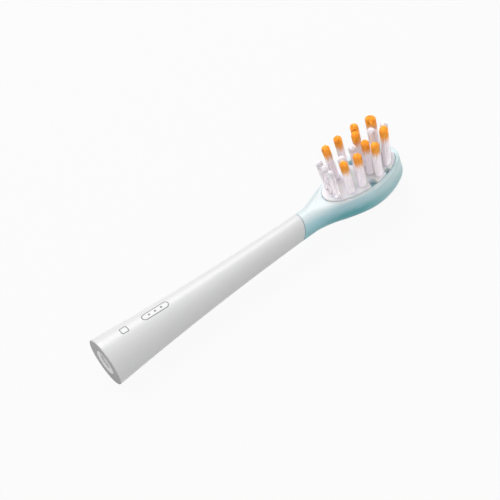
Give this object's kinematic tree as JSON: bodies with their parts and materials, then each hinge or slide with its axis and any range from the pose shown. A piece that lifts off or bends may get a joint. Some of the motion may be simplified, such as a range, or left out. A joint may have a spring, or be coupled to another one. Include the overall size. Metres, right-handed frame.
{
  "type": "electric toothbrush head",
  "caption": "Push-on electric toothbrush head: tapered white neck sleeve with a shaft socket, translucent oval tray and bristle tufts with coloured tips.",
  "frame": {"origin": "centre of the shaft bore's mouth, in the plane of the open end", "axes": "+X along the drive shaft from the open end to the toe, +Z the way the bristles point, +Y to the left"},
  "size_m": [0.0814, 0.0126, 0.0201],
  "materials": {
    "sleeve_white": "satin white moulding",
    "tray_tint": "glossy translucent pale blue-green",
    "plate_white": "smooth white",
    "coupling_white": "matt white",
    "clip_steel": "plain spring steel",
    "bristle_tipped": "white filaments with dyed orange ends",
    "bristle_white": "milky white filaments"
  },
  "bodies": {
    "root": {"neck_sleeve": "sleeve_white", "brush_head": "tray_tint", "tuft_plate": "plate_white", "shaft_coupling": "coupling_white", "shaft_clip": "clip_steel", "rear_side_tuft_left": "bristle_tipped", "rear_side_tuft_right": "bristle_tipped", "middle_side_tuft_left": "bristle_tipped", "middle_side_tuft_right": "bristle_tipped", "inner_tuft_left": "bristle_tipped", "inner_tuft_right": "bristle_tipped", "front_side_tuft_left": "bristle_tipped", "front_side_tuft_right": "bristle_tipped", "toe_tuft_left": "bristle_tipped", "toe_tuft_right": "bristle_tipped", "heel_tuft_left": "bristle_white", "heel_tuft_centre": "bristle_white", "heel_tuft_right": "bristle_white", "rear_centre_tuft": "bristle_white", "middle_centre_tuft": "bristle_white", "front_centre_tuft": "bristle_white", "toe_centre_tuft": "bristle_white"}
  },
  "joints": []
}
